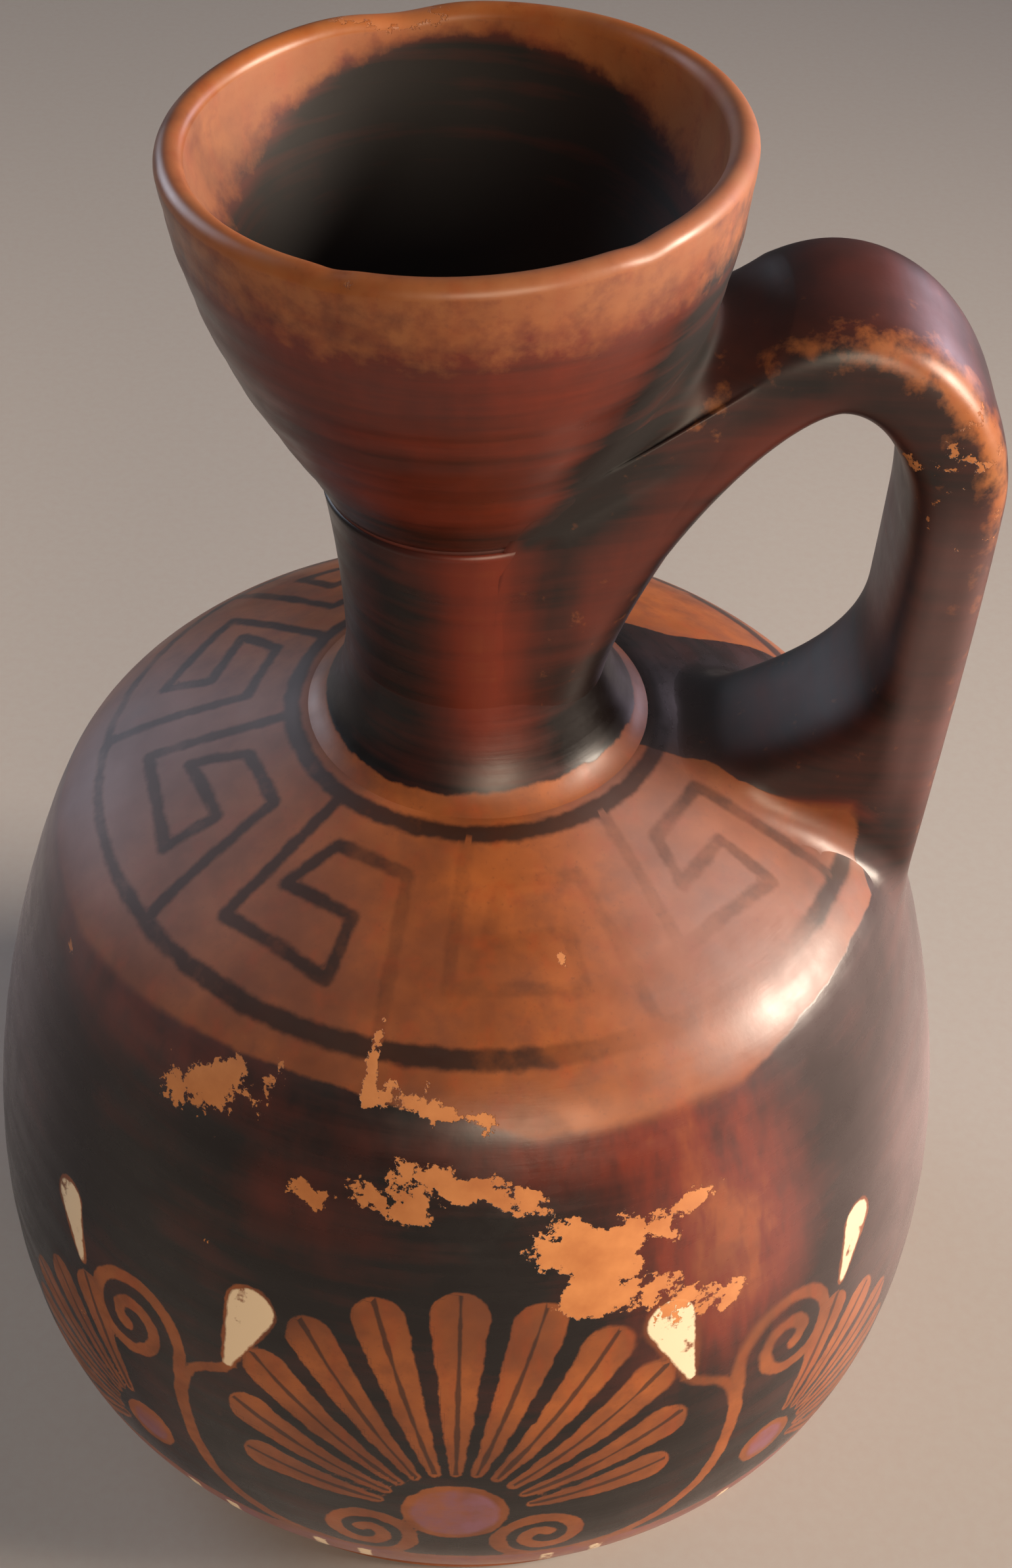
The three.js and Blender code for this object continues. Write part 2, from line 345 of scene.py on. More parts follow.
def front_ornament(x, y):
    """Fans of petals with scrolling stems in reserved clay: reserved shape, rib lines, cream and mauve."""
    right = abs(x)
    petals = []
    for i in range(FAN_PETALS):
        lean = radians(-78 + 156 * i / (FAN_PETALS - 1))
        tip = 34.5 - 11.5 * (lean / FAN_SPREAD) ** 2
        petals.append(petal(x, y, FAN, lean, 7.4, tip, 0.7, 3.1 - 0.5 * abs(lean)))
    for i in range(SIDE_PETALS):
        lean = radians(28 + 98 * i / (SIDE_PETALS - 1))
        tip = 22.5 - 4 * abs(i / (SIDE_PETALS - 1) - 0.45)
        petals.append(petal(right, y, SIDE_FAN, lean, 4.6, tip, 0.6, 2.5))
    reserved, ribs = np.full(x.shape, -99.0), FAR
    for shape, beside in petals:
        ribs = np.where(shape > reserved, beside, ribs)
        reserved = np.maximum(reserved, shape)
    ribs = np.where(reserved > 0, ribs, FAR)
    heart = FAN_HEART - np.hypot(x - FAN[0], y - FAN[1])
    side_heart = SIDE_HEART - np.hypot(right - SIDE_FAN[0], y - SIDE_FAN[1])
    low = spiral(SCROLL_LOW, -math.pi / 2, -1.6, 0.9, 5.6)
    high = spiral(SCROLL_HIGH, math.pi, -1.7, 1, 7)
    stem = bow(low[0], low[0] + (17, 0), high[0] - (0, 15), high[0], 30)
    leaf = np.array(LEAF)
    twig = bow(high[0] - (0.4, 7), high[0] + (-0.5, 2), leaf + (3, -9), leaf + (0.5, -5.5), 12)
    stems = STEM_HALF - from_line(right, y, joined(low[::-1], stem, high))
    stems = np.maximum(stems, TWIG_HALF - from_line(right, y, twig))
    leaf, _ = petal(right, y, leaf + (1.2, -6), radians(-14), 0, 12.5, 0.4, 2.7)
    bud, _ = petal(right, y, BUD, radians(24), 0, 10, 0.4, 2.1)
    cream = np.maximum(leaf, bud)
    mauve = np.maximum(heart, side_heart) - 0.9
    reserved = np.max([reserved, heart, side_heart, stems, cream + 0.35], axis=0)
    return reserved, ribs, cream, mauve


def patches(turn, height, spots):
    """Sum of soft round patches, each (turn, height, spread of turn, spread of height, strength)."""
    total = np.zeros(turn.shape)
    for middle, level, wide, tall, strength in spots:
        off = (turn - middle + 180) % 360 - 180
        total += strength * np.exp(-0.5 * ((off / wide) ** 2 + ((height - level) / tall) ** 2))
    return total


def by_turn(table, turn):
    """Values of a table of (turn, value), read at each turn."""
    return np.interp(turn, *np.transpose(table))


# Patches on the wall and shoulder: where slip has flaked off, where it was fired thin and brown, where a
# grey film lies (weathering, and painted sheen on the sides and shoulder), and where the shoulder is rubbed
# dull
WALL_PATCHES = {
    "flake": (
        (-33.5, 77.5, 3.4, 2.2, 0.82), (-27.5, 79.6, 3, 1.3, 0.8), (-37.5, 74.8, 2.2, 1.6, 0.6),
        (-17.5, 71, 2.6, 1.2, 0.7), (-11, 72.8, 3, 1.6, 0.75), (-4.5, 74.2, 3, 1.6, 0.72),
        (2, 74, 3, 1.3, 0.75), (7, 71.6, 2.6, 1.4, 0.72), (-6, 70, 2.2, 1.5, 0.6), (11.5, 66.8, 2.4, 2, 0.9),
        (16, 65, 3.4, 2.2, 0.9), (22, 67.2, 3.6, 1.4, 0.85), (28, 68.4, 3, 0.9, 0.8), (14, 60, 3, 2.2, 0.75),
        (20, 59, 3.4, 2, 0.75), (26, 56.5, 2.2, 2.2, 0.8), (31, 54.6, 1.8, 1.6, 0.85),
        (-12.5, 83, 0.7, 2.4, 0.72), (-8.5, 81.8, 2.8, 0.8, 0.66), (-3, 81, 3.2, 0.6, 0.66),
        (2.5, 80.2, 2.2, 0.5, 0.58), (-48, 36, 1.6, 1.2, 0.6), (-63, 77, 1.3, 0.5, 1),
        (16, 88.6, 0.9, 0.4, 0.9), (-30, 60.5, 0.5, 0.9, 0.95), (118, 64, 3, 2.4, 0.7),
        (-128, 40, 2.6, 1.8, 0.65), (168, 70, 3.6, 1.4, 0.65)),
    "thin": (
        (29.5, 66, 6.6, 10, 1.3), (33, 57, 6, 8, 0.9), (14, 77, 12, 2.6, 0.8), (-20, 69, 6, 5, 0.25),
        (140, 30, 26, 12, 0.45), (-150, 66, 24, 9, 0.4), (-58, 79, 24, 2.6, 0.6), (100, 76, 14, 6, 0.3)),
    # Grey film: painted sheen, broad reflections, on the right side, the left edge and both sides of the
    # shoulder; a film of weathering at the back.
    "bloom": (
        (84, 45, 21, 23, 0.67), (-76, 86, 31, 6, 0.4), (-88, 67, 15, 17, 0.66), (150, 50, 30, 20, 0.15),
        (-150, 40, 24, 14, 0.18), (30, 10, 60, 5, 0.3), (46, 88, 15, 6.5, 0.5), (34, 64, 8, 12, 0.12)),
    "dull": ((-72, 88, 36, 7, 0.75),)}
# The black ground's upper edge, and how much is left of the key pattern and of the outer ring, by turn; the
# strokes are worn at the front, and their fading at the front right, under the shoulder's highlight, is
# painted highlight as well
GROUND_TOP = (
    (-180, 80), (-120, 79.6), (-90, 79.8), (-63, 79.6), (-37, 81.3), (-25, 81.7), (-16, 81.6), (0, 80.6),
    (8, 78.8), (25, 78.7), (36, 78.5), (47, 80.3), (62, 81.2), (90, 81), (120, 80.2), (180, 80))
KEY_FADE = (
    (-180, 0.85), (-120, 0.9), (-60, 0.95), (-36, 0.95), (-22, 0.72), (-12, 0.46), (-2, 0.36), (30, 0.35),
    (42, 0.52), (66, 0.68), (84, 0.6), (92, 0.05), (138, 0.05), (150, 0.6), (180, 0.85))
OUTER_FADE = (
    (-180, 0.9), (-100, 0.8), (-60, 0.9), (-10, 1), (2, 0.85), (10, 0.72), (18, 0.45), (30, 0.3),
    (50, 0.25), (60, 0.8), (76, 0.95), (180, 0.9))
INNER_FADE = 0.95
BASE_BAND = 17.0
FRONT = 80
TICKS = (-52, -33, -27.5, -16, -10.5, 11, 17, 34, 49.5)
TICK_HEIGHT = 13.6


def columns_for_front(count, fine=66, ratio=2.6):
    """Turns round the body, closer together over the painted front; the seam is at the back."""
    turn = np.linspace(-180, 180, 3601)
    crowd = 1 + (ratio - 1) * (1 - smooth(fine, fine + 12, abs(turn)))
    share = np.r_[0, np.cumsum((crowd[1:] + crowd[:-1]) / 2)]
    return np.interp(np.arange(count) / count * share[-1], share, turn)


def body_outside():
    """Wall and shoulder, from the heel to the seat."""
    across, along = sin(EDGE_LEAN), cos(EDGE_LEAN)
    widest, seat = (BELLY, BELLY_HEIGHT), (COLLAR, SEAT)
    below_edge = (EDGE[0] + 12.8 * across, EDGE[1] - 12.8 * along)
    above_edge = (EDGE[0] - 8 * across, EDGE[1] + 8 * along)
    by_seat = (COLLAR + 14.5 * cos(SHOULDER_SLOPE), SEAT - 14.5 * sin(SHOULDER_SLOPE))
    return joined(
        bow((45.6, HEEL), (54, HEEL + 1.2), (BELLY, 17), widest), bow(widest, (BELLY, 46), below_edge, EDGE),
        bow(EDGE, above_edge, by_seat, seat),
        bow(seat, (COLLAR - 0.6, SEAT + 0.22), (17.8, SEAT + 0.42), (16.8, SEAT + 0.5)))


def neck_outside(start):
    """The neck from a height to its top, along its own leaning line."""
    return joined(((NECK, start), (NECK, 13)), bow((NECK, 13), (NECK, 20), (13.6, 26), NECK_TOP, 20))


def mouth_outside():
    """The mouth from the neck to the lip, along the same line."""
    return bow((14.2, MOUTH_START), (17.04, 37.62), (24.4, 46.27), LIP)


def add(tree, kind, inputs=(), out=None, **settings):
    """Adds a node with its settings and inputs, by order or name, and returns one of its outputs."""
    kind, usual = kind if isinstance(kind, tuple) else (kind, {})
    node = tree.nodes.new(kind)
    for name, value in {**usual, **settings}.items():
        setattr(node, name, value)
    live = [s for s in node.inputs if s.enabled]
    for key, value in inputs.items() if isinstance(inputs, dict) else enumerate(inputs):
        socket = live[key] if isinstance(key, int) else next(s for s in live if s.name == key)
        if isinstance(value, bpy.types.NodeSocket):
            tree.links.new(value, socket)
        elif hasattr(value, "__len__") and len(socket.default_value) == 4:
            socket.default_value = (*value[:3], 1)
        else:
            socket.default_value = value
    live = [s for s in node.outputs if s.enabled]
    return next((s for s in live if out in (None, s.name)), None)


# Kinds of node, some with their usual settings
NOISE, RANGE, STORED, PLACE, SPACE, MATH, SURFACE, OUTPUT = (
    "ShaderNode" + kind for kind in (
        "TexNoise", "MapRange", "Attribute", "Mapping", "TexCoord", "Math", "BsdfPrincipled",
        "OutputMaterial"))
EASED = (RANGE, {"interpolation_type": "SMOOTHSTEP"})
MIX = ("ShaderNodeMix", {"data_type": "RGBA"})
SUM, PRODUCT, SCALED, LARGER = (
    (MATH, {"operation": kind}) for kind in ("ADD", "MULTIPLY", "MULTIPLY_ADD", "MAXIMUM"))
MATT = 0.72


def blank_material(name):
    """A material with no nodes yet, and the call that adds one to it."""
    material = bpy.data.materials.new(name)
    material.use_nodes = True
    material.node_tree.nodes.clear()
    return material, partial(add, material.node_tree)


# Roughness of the slip and of the clay, streaks of thin slip, raggedness of wear, and drips in the slip, with
# what each finish gives the eye
FINISHES = {
    # A dull brown band, rubbed to clay where the jar stands
    "Fired clay with worn slip": (0.42, 0.6, 0.5, 0.4, 0.15),
    # A dry dark line in the joint
    "Luting slip, matt": (0.7, 0.75, 0.6, 0.4, 0.15),
    # A deep even black that goes brown where the slip ran thin
    "Black gloss slip on fired clay": (0.28, 0.37, 0.12, 0.4, 0.55),
    # A red streak between black sides, with a soft shine
    "Thin gloss slip on the neck": (0.34, 0.46, 0.2, 0.4, 0.15),
    # A fine dull line between neck and mouth
    "Luting slip at the mouth": (0.6, 0.7, 0.4, 0.4, 0.15),
    # A warm red-brown shine with wheel bands, and a lip worn to clay
    "Thin gloss slip fired red-brown": (0.36, 0.44, 0.32, 0.34, 0.15),
    # A black-brown satin, with a ridge rubbed to orange clay
    "Black gloss slip, rubbed": (0.28, 0.37, 0.16, 0.6, 0.15)}


def slip_on_clay(name, slip_rough, clay_rough, streaks, wear, drips):
    """Thrown, fired clay with a thin sintered slip. The slip gives a soft deep gloss, black where it is
    thick and red-brown where it is thin; bare clay is warm, mottled and duller, with a fine grit."""
    hue = bpy.context.scene.lekythos_colours
    material, node = blank_material(name)
    place = node(SPACE, out="Object")
    # Wheel marks run round the jar and drips run down it, so their coordinates are squeezed.
    wheel = node(PLACE, {"Vector": place, "Scale": (0.06, 0.06, 1)})
    fall = node(PLACE, {"Vector": place, "Scale": (1, 1, 0.12)})
    cloud, blot, ragged, torn, grit, streak, run = (
        node(NOISE, (space, 1 / (size * MM), detail, roughness))
        for space, size, detail, roughness in (
            (place, 14, 4, 0.55), (place, 5, 4, 0.6), (place, 2.4, 5, 0.62), (place, 3.4, 6, 0.68),
            (place, 0.5, 2, 0.6), (wheel, 1.6, 4, 0.6), (fall, 2.6, 3, 0.6)))
    slip, stroke, ribs, cream, mauve, fade, flake, thin, rubbed, bloom, dull = (
        node(STORED, out="Fac", attribute_name=layer) for layer in UNPAINTED)
    # The brush wanders by about half a millimetre.
    wander = node(RANGE, (ragged, 0, 1, -0.5, 0.5))
    # Where the slip is thin its edge is soft, wiped rather than drawn.
    soft = node(SCALED, (thin, 1.1, 0.15))
    slip_edge = node(SUM, (slip, wander))
    slip_here = node(EASED, (slip_edge, node(PRODUCT, (soft, -1)), soft, 0, 1))
    # Strokes have worn away in blots; at the front right their fading also paints the highlight that washes
    # them out.
    stroke_cut = node(EASED, (node(SUM, (stroke, wander)), -0.3, 0.35, 0, 1))
    fade_here = node(SUM, (fade, node(SCALED, (blot, 1.5, -0.75))), use_clamp=True)
    fade_sure = node(RANGE, (node(PRODUCT, (fade_here, fade)), 0, 0.75, 0, 0.88))
    stroke_here = node(PRODUCT, (stroke_cut, fade_sure))
    # Clay in two tones, with a wash that ran down it, stains and specks
    clay = hue.clay_deep
    for grain, low, high, most, tint in (
            (cloud, 0.35, 0.65, 1, hue.clay), (run, 0.5, 0.75, 0.45, hue.ochre),
            (blot, 0.46, 0.7, 0.7, hue.clay_deep), (grit, 0.62, 0.72, 0.35, hue.clay_deep)):
        clay = node(MIX, (node(RANGE, (grain, low, high, 0, most)), clay, tint))
    # Slip in black to red-brown; where hardly any was laid the clay shows through.
    thinness = node(PRODUCT, (thin, node(RANGE, (run, 0.3, 0.7, 1 - drips, 1 + 0.7 * drips))))
    for grain, low, high, swing in ((streak, 0.25, 0.75, streaks), (cloud, 0.3, 0.7, 0.18)):
        thinness = node(SUM, (thinness, node(RANGE, (grain, low, high, -swing, swing))))
    slip_colour = node(MIX, (node(RANGE, (thinness, 0, 1, 0, 1)), hue.gloss, hue.gloss_thin))
    slip_colour = node(MIX, (node(RANGE, (thinness, 1.05, 1.75, 0, 0.7)), slip_colour, clay))
    # Thin relief lines along the petals, and added colours that have come off here and there
    off_rib = node(MATH, (ribs,), operation="ABSOLUTE")
    rib_edge = node(SUM, (off_rib, node(RANGE, (blot, 0.3, 0.7, -0.1, 0.25))))
    rib_here = node(RANGE, (rib_edge, 0.22, 0.42, 0.75, 0))
    mauve_here, cream_here = (
        node(PRODUCT, (
            node(RANGE, (node(SUM, (layer, wander)), *brush, 0, 1)), node(RANGE, (grain, *left))))
        for layer, brush, grain, left in (
            (mauve, (-0.2, 0.4), blot, (0.36, 0.6, 0.15, 0.85)),
            (cream, (-0.1, 0.15), ragged, (0.34, 0.42, 0.1, 0.95))))
    # Wear: flakes with ragged edges down to the fresh clay, and rubbing that thins the slip
    flake_edge = node(SUM, (flake, node(RANGE, (torn, 0.25, 0.677, -0.75, 0.53))))
    flake_here = node(RANGE, (flake_edge, 0.56, 0.6, 0, 1))
    fresh = node(MIX, (node(RANGE, (blot, 0.35, 0.7, 0, 0.6)), hue.bare, hue.clay))
    rub_edge = node(SUM, (rubbed, node(RANGE, (ragged, 0.25, 0.75, -wear, wear))))
    rub_here = node(RANGE, (rub_edge, 0.35, 0.9, 0, 0.92))
    worn = node(MIX, (node(RANGE, (blot, 0.3, 0.7, 0, 0.42)), clay, hue.bare))
    # A grey film that dulls slip and clay and holds less well on brush strokes: in places weathering, in
    # others painted sheen, broad reflections painted into the colour
    film_and_sheen = node(PRODUCT, (bloom, node(RANGE, (cloud, 0.3, 0.7, 0.75, 1.2))), use_clamp=True)
    film_and_sheen = node(PRODUCT, (film_and_sheen, node(SCALED, (stroke_here, -0.65, 1))))
    painted = clay
    for share, tint in (
            (stroke_here, hue.gloss), (slip_here, slip_colour), (rib_here, hue.gloss),
            (mauve_here, hue.mauve), (cream_here, hue.cream), (flake_here, fresh), (rub_here, worn),
            (film_and_sheen, hue.film_and_sheen)):
        painted = node(MIX, (share, painted, tint))
    # Gloss follows the slip; flakes and cream are matt.
    gloss = node(LARGER, (slip_here, node(PRODUCT, (stroke_here, 0.4))))
    rough = node(RANGE, (gloss, 0, 1, clay_rough, slip_rough))
    for grain, swing in ((blot, 0.07), (streak, 0.045)):
        rough = node(SUM, (rough, node(RANGE, (grain, 0.3, 0.7, -swing, swing))))
    matt = node(LARGER, (node(LARGER, (flake_here, cream_here)), dull))
    rough = node(MIX, (matt, rough, MATT), data_type="FLOAT")
    # Heights in millimetres: slip stands a little proud, flakes lie lower, wheel marks and grit are fine.
    height = 0
    for layer, rise in (
            (gloss, 0.012), (flake_here, -0.1), (cream_here, 0.05), (streak, 0.03), (grit, 0.006),
            (blot, 0.03)):
        height = node(SCALED, (layer, rise, height))
    relief = node("ShaderNodeBump", {"Strength": 0.8, "Distance": MM, "Height": height})
    shader = node(SURFACE, {"Base Color": painted, "Roughness": rough, "IOR": 1.46, "Normal": relief})
    node(OUTPUT, {"Surface": shader})
    return material


class LEKYTHOS_OT_foot(bpy.types.Operator):
    """Disc foot with its turned recess, and the ring of slip above it"""
    bl_idname = "lekythos.foot"
    bl_label = "Foot"

    def execute(self, context):
        turns = full_turn(RING_COLUMNS)
        round_edge = joined(
            bow((FOOT - 1.6, 0), (FOOT - 0.5, 0.1), (FOOT, 0.9), (FOOT, 2.4), 10),
            bow((FOOT, 2.4), (FOOT, 3.6), (FOOT - 0.8, FOOT_TOP - 0.2), (FOOT - 2, FOOT_TOP), 12))
        recess = joined((2, 2.1), (36.5, 1.8), bow((36.5, 1.8), (38.4, 1.7), (39.2, 0.9), (39.8, 0), 8))
        outline = joined(
            (0, 2.1), evenly(recess, 1.4), (40.4, 0), evenly(round_edge, 0.5), (44, FOOT_TOP), (0, FOOT_TOP))
        turn, radius, height = grid(outline[1:-1], turns)
        on_edge = (radius > 46) & (height > 1.2)
        seated(
            skin("foot_clay", turned(outline, turns)), "Fired clay with worn slip", "reserved_clay", "foot",
            slip=np.where(on_edge, 0.6 - abs(height - 3.6) * 0.5, -4), thin=0.75,
            rubbed=smooth(1.6, 0.4, height) * (radius > 40) * 0.9,
            flake=patches(turn, height, (
                (20, 3.6, 5, 1.2, 0.8), (-60, 3, 4, 1.5, 0.8), (150, 3.4, 6, 1.2, 0.8))))
        bulge = bow((45, FOOT_TOP - 0.1), (45.5, FOOT_TOP + 0.1), (45.5, HEEL - 0.1), (45, HEEL + 0.1), 10)
        ring = joined((44, FOOT_TOP - 0.2), bulge, (44, HEEL + 0.2))
        seam = skin("foot_luting", turned(ring, turns), loop=True)
        seated(seam, "Luting slip, matt", "luting_slip", "foot_slip", slip=COVERED, thin=0.2)
        return {"FINISHED"}


def wall_paint(turn, radius, height, sizes):
    """Painted layers on the outside of the body, from the turn, radius and height of its points."""
    outline = evenly(body_outside(), 0.3)
    along, belly, band, ticks_at, top = (
        np.interp(z, outline[:, 1], run_of(outline))
        for z in (height, BELLY_HEIGHT, BASE_BAND, TICK_HEIGHT, by_turn(GROUND_TOP, turn)))
    x, y = radius * sin(radians(turn)), -radius * cos(radians(turn))
    # Black ground between the base band and the shoulder, with the front ornament left out of it
    ground = np.minimum(top - along, along - band)
    reserved, ribs, cream, mauve = front_ornament(radians(turn) * UNROLLED, along - belly)
    front = abs(turn) < FRONT
    ground = np.where(front, np.minimum(ground, -reserved), ground)
    under_handle = np.minimum(y + 6.2 + 8.2 * smooth(38.5, 42.5, x), 15.5 + 4 * smooth(20, 32, x) - y)
    ground = np.maximum(ground, np.where((x > 0) & (height > 70), under_handle, -FAR))
    # Key pattern and rings; the outer ring is thinner at the left
    ring = sizes.ring_line / MM / 2
    slim = 0.64 + 0.36 * smooth(-80, -25, turn)
    outer, inner = ring * slim - abs(radius - RING_OUTER), ring - abs(radius - RING_INNER)
    key = np.minimum(key_pattern(x, -y, sizes.key_stroke / MM), KEY_OUTSIDE - radius)
    stroke = np.where(height > 80, np.max([outer, inner, key], axis=0), -FAR)
    fade = np.where(outer > key, by_turn(OUTER_FADE, turn), by_turn(KEY_FADE, turn))
    fade = np.where(inner > np.maximum(outer, key), INNER_FADE, fade)
    # Short cream strokes and a mauve wash in the band above the foot
    across = np.min([abs(radians(turn - tick)) * UNROLLED for tick in TICKS], axis=0)
    ticks = np.minimum(0.75 - across, 2.2 - abs(along - ticks_at))
    cream = np.where(front, np.maximum(cream, ticks), -FAR)
    mauve = np.maximum(np.where(front, mauve, -FAR), np.where(height < BASE_BAND, 0.12, -3))
    worn = {name: patches(turn, height, spots) for name, spots in WALL_PATCHES.items()}
    return {"slip": ground, "stroke": stroke, "fade": fade, "ribs": np.where(front, ribs, FAR),
            "cream": cream, "mauve": mauve, **worn}


class LEKYTHOS_OT_body(bpy.types.Operator):
    """Thrown body with its painted shoulder and front"""
    bl_idname = "lekythos.body"
    bl_label = "Body"

    def execute(self, context):
        sizes = context.scene.lekythos_sizes
        turns = columns_for_front(BODY_COLUMNS)
        outside = evenly(body_outside(), 0.68)
        inside = ((BORE, SEAT + 0.4), (BORE, SEAT - 4.6), (20, 88.6), (40.5, 78.2), (48, 60),
                  (BELLY - 4.2, BELLY_HEIGHT), (49, 15), (43, 10.7))
        outline = joined((0, HEEL), (30, HEEL), outside, (15.8, SEAT + 0.45), inside, (0, 10.6))
        run = run_of(outline)
        first, last = 2, 2 + len(outside)
        row = np.arange(len(outline))[:, None]
        shown = (row >= first) & (row < last)
        # The painted outside gets most of the bake map.
        shares = np.interp(run, (0, run[first], run[last - 1], run[-1]), (0, 0.05, 0.93, 1))[1:-1]
        # Throwing rings and a hand-made want of roundness, none of it where the handle is smoothed on
        rings = sin(2 * math.pi * run[:, None] * MM / sizes.throwing_ring)
        reach = np.where(shown, rings * smooth(0, 8, outline[:, :1] - COLLAR), 0)
        uneven = 0.12 * sin(radians(2 * turns)) * smooth(18, 50, abs(turns - 90))
        swell = sizes.throwing_depth / MM * reach + uneven * smooth(20, 50, outline[:, :1])
        swell = swell * (outline[:, :1] > 1)
        rows = turned(outline, turns) + swell[..., None] * outward(turns)
        body = skin("body_clay", rows, shares=shares)
        layers = wall_paint(*grid(outline[1:-1], turns), sizes)
        layers = {name: np.where(shown[1:-1], layer, UNPAINTED[name]) for name, layer in layers.items()}
        seated(body, "Black gloss slip on fired clay", "black_gloss", "body", **layers)
        return {"FINISHED"}


def neck_thinness(around, up):
    """Where the slip on the neck is thin and red: in front, below the mouth and here and there behind."""
    return patches(around, up, (
        (5, 17, 14, 15, 1.2), (-20, 28, 30, 2, 0.3), (170, 18, 30, 8, 0.4), (-120, 24, 22, 6, 0.3)))


def by_handle(around, up):
    """How far a place on the mouth lies inside the dark slip brushed round the handle's root, in degrees."""
    return 59 - abs(around - 90) - 1.15 * (up - 36)


def mouth_thinness(around, up):
    """Thin red slip on the mouth, thicker and darker in wheel bands, at the left and by the handle."""
    dark = patches(around, up, (
        (-88, 46, 38, 15, 0.9), (-20, 32, 50, 3.4, 0.75), (48, 47, 18, 9, 0.35), (-170, 40, 50, 10, 0.6)))
    dark = dark + 1.3 * smooth(-14, 14, by_handle(around, up))
    bands = patches(around, up, ((-20, 45.5, 60, 1.4, 0.5), (30, 41, 40, 1.2, 0.4), (0, 51, 50, 1.2, 0.25)))
    return np.clip(1 - dark - bands, 0, 1)


class LEKYTHOS_OT_neck(bpy.types.Operator):
    """Neck and the coil worked round its foot"""
    bl_idname = "lekythos.neck"
    bl_label = "Neck"

    def execute(self, context):
        turns = full_turn(RING_COLUMNS)
        finish = "Thin gloss slip on the neck"
        # The coil starts level on the shoulder and ends square to the leaning neck.
        curve = bow((18.3, 0.12), (16.4, 0.95), (14, 3), (NECK - 0.25, 12.5), 44)
        inside = np.array([(12.4, 12.4), (12.4, 1)])
        level = turned(curve, turns) + (0, 0, SEAT)
        square = leaned(turned(curve, turns))
        share = smooth(0, 9, curve[:, 1])[:, None, None]
        rows = level * (1 - share) + square * share, leaned(turned(inside, turns))
        coil = skin("neck_coil_clay", np.concatenate(rows), loop=True)
        around, _, up = grid(np.vstack([curve, inside]), turns)
        edge = up - 1.9 - 0.3 * sin(radians(3 * around))
        thin = neck_thinness(around, up) * smooth(0, 9, up)
        seated(coil, finish, "black_gloss", "neck_coil", slip=edge, thin=thin)
        wall = evenly(neck_outside(NECK_START), 0.8)
        outline = joined(wall, (13.6, NECK_TOP[1] + 0.1), (BORE, NECK_TOP[1]), (BORE, NECK_START))
        neck = skin("neck_clay", leaned(turned(outline, turns)), loop=True)
        around, _, up = grid(outline, turns)
        flake = patches(around, up, ((30, 8, 3, 1, 0.7),))
        seated(neck, finish, "thin_gloss", "neck", slip=COVERED, thin=neck_thinness(around, up), flake=flake)
        return {"FINISHED"}


class LEKYTHOS_OT_mouth(bpy.types.Operator):
    """Bell-shaped mouth with its rounded lip, and the ring of slip below it"""
    bl_idname = "lekythos.mouth"
    bl_label = "Mouth"

    def execute(self, context):
        turns = full_turn(MOUTH_COLUMNS)
        bulge = bow((13.9, 30.05), (14.1, 30.2), (14.1, 30.6), (13.9, 30.75), 8)
        ring = joined((BORE, 30.1), (13.2, 30), bulge, (13.2, 30.8), (BORE, 30.7))
        seam = skin("mouth_luting", leaned(turned(ring, turns)), loop=True)
        seated(seam, "Luting slip at the mouth", "luting_slip", "mouth_slip", slip=COVERED, thin=0.5)
        wall = evenly(mouth_outside(), 0.6)
        bend = np.linspace(0, math.pi, 16)[1:-1]
        cup_edge = LIP[0] - 2 * LIP_ROLL
        lip = np.column_stack([LIP[0] - LIP_ROLL + LIP_ROLL * cos(bend), LIP[1] + LIP_ROLL * sin(bend)])
        cup = evenly(bow((cup_edge, LIP[1]), (cup_edge, 52.47), (11.96, 46.9), (BORE, 36.7)), 0.8)
        outline = joined(wall, lip, cup, (BORE, MOUTH_START))
        around, _, up = grid(outline, turns)
        row = np.arange(len(outline))[:, None]
        outer, inner = row < len(wall), row >= len(wall) + len(lip)
        # Wheel ridges on the outside, a chip in the lip at the back and two nicks in front
        ridges = 0.05 * sin(up * 0.9 + 0.5 * sin(radians(around))) + 0.02 * sin(up * 2.3 + 1)
        swell = np.where(outer, ridges * smooth(31, 36, up) * smooth(64, 61, up), 0)
        chip = patches(around, up, (
            (-166, 65.4, 7, 1.6, 1), (38, 64.9, 3, 0.9, 0.35), (-22, 65, 2.5, 0.8, 0.3)))
        rows = turned(outline, turns) + swell[..., None] * outward(around)
        mouth = skin("mouth_clay", leaned(rows - 0.7 * chip[..., None] * np.array((0, 0, 1))), loop=True)
        # Inside, a band of clay below the lip is deeper at the sides; the lip is rubbed bare, more so towards
        # the lit front right, where the rub also paints light.
        aside = sin(radians(around)) ** 2
        depth = smooth(61.5 - 9 * aside, 64.2 - 5.5 * aside, up)
        lit_side_rub = 0.66 + 0.2 * cos(radians(around - 20))
        rub = np.where(outer, smooth(53, 62.5, up) * lit_side_rub, np.where(inner, depth, 1.05))
        # Painted light: a grey film lightens the lit left inner wall, and a grey sheen is painted on the
        # outside at the left and on the right below the lip.
        inner_painted_light = 0.15 * smooth(0.2, -0.9, sin(radians(around))) * depth
        outer_painted_sheen = patches(around, up, ((52, 63, 30, 4, 0.2), (-78, 47, 22, 12, 0.3)))
        film_and_sheen = np.where(inner, inner_painted_light, outer_painted_sheen)
        thin = np.where(outer, mouth_thinness(around, up), depth)
        dull = np.where(inner, 0.9, 0.85 * smooth(-14, 8, by_handle(around, up)))
        seated(mouth, "Thin gloss slip fired red-brown", "thin_gloss", "mouth",
               slip=COVERED, thin=thin, rubbed=rub, flake=chip * 1.3, bloom=film_and_sheen, dull=dull)
        return {"FINISHED"}


